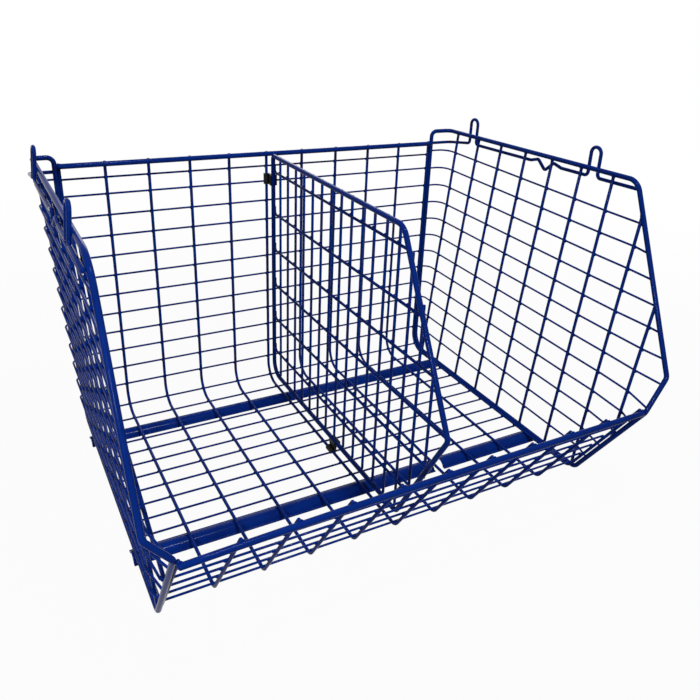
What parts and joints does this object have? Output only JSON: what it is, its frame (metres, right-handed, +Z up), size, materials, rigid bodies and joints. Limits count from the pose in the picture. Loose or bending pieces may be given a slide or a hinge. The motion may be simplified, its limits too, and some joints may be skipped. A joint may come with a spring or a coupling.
{
  "type": "wire storage basket",
  "caption": "Open-fronted stacking basket of blue coated wire with flared mesh sides, stacking loops, floor channels and a lift-out mesh divider held by plastic clips.",
  "frame": {"origin": "centre of the underside of the floor channels' level, in the middle of the bounding box", "axes": "+X to the basket's right, +Y to its back, +Z up; the open front faces -Y"},
  "size_m": [0.5776, 0.4566, 0.3849],
  "materials": {
    "blue_coating": "glossy dipped dark blue coating over steel wire",
    "clip_plastic": "plain black moulded plastic"
  },
  "bodies": {
    "basket": {"back_cross_wire_01": "blue_coating", "back_cross_wire_02": "blue_coating", "back_cross_wire_03": "blue_coating", "back_cross_wire_04": "blue_coating", "back_cross_wire_05": "blue_coating", "back_cross_wire_06": "blue_coating", "back_cross_wire_07": "blue_coating", "back_cross_wire_08": "blue_coating", "back_cross_wire_09": "blue_coating", "back_cross_wire_10": "blue_coating", "back_cross_wire_11": "blue_coating", "back_cross_wire_12": "blue_coating", "back_cross_wire_13": "blue_coating", "back_rail": "blue_coating", "bent_wire_01": "blue_coating", "bent_wire_02": "blue_coating", "bent_wire_03": "blue_coating", "bent_wire_04": "blue_coating", "bent_wire_05": "blue_coating", "bent_wire_06": "blue_coating", "bent_wire_07": "blue_coating", "bent_wire_08": "blue_coating", "bent_wire_09": "blue_coating", "bent_wire_10": "blue_coating", "bent_wire_11": "blue_coating", "floor_clip": "clip_plastic", "floor_cross_wire_01": "blue_coating", "floor_cross_wire_02": "blue_coating", "floor_cross_wire_03": "blue_coating", "floor_cross_wire_04": "blue_coating", "floor_cross_wire_05": "blue_coating", "floor_cross_wire_06": "blue_coating", "floor_cross_wire_07": "blue_coating", "floor_cross_wire_08": "blue_coating", "floor_cross_wire_09": "blue_coating", "front_channel_long": "blue_coating", "front_channel_short": "blue_coating", "front_rail": "blue_coating", "left_side_panel": "blue_coating", "left_stacking_wire": "blue_coating", "lip_cross_wire_01": "blue_coating", "lip_cross_wire_02": "blue_coating", "lip_cross_wire_03": "blue_coating", "lip_cross_wire_04": "blue_coating", "lip_cross_wire_05": "blue_coating", "rear_channel": "blue_coating", "rear_clip": "clip_plastic", "right_side_panel": "blue_coating", "right_stacking_wire": "blue_coating"},
    "divider": {"divider": "blue_coating"}
  },
  "joints": [
    {"name": "divider_lift", "type": "slide", "parent": "basket", "child": "divider", "axis": [0, 0, 1], "range_m": [0, 0.335]}
  ]
}
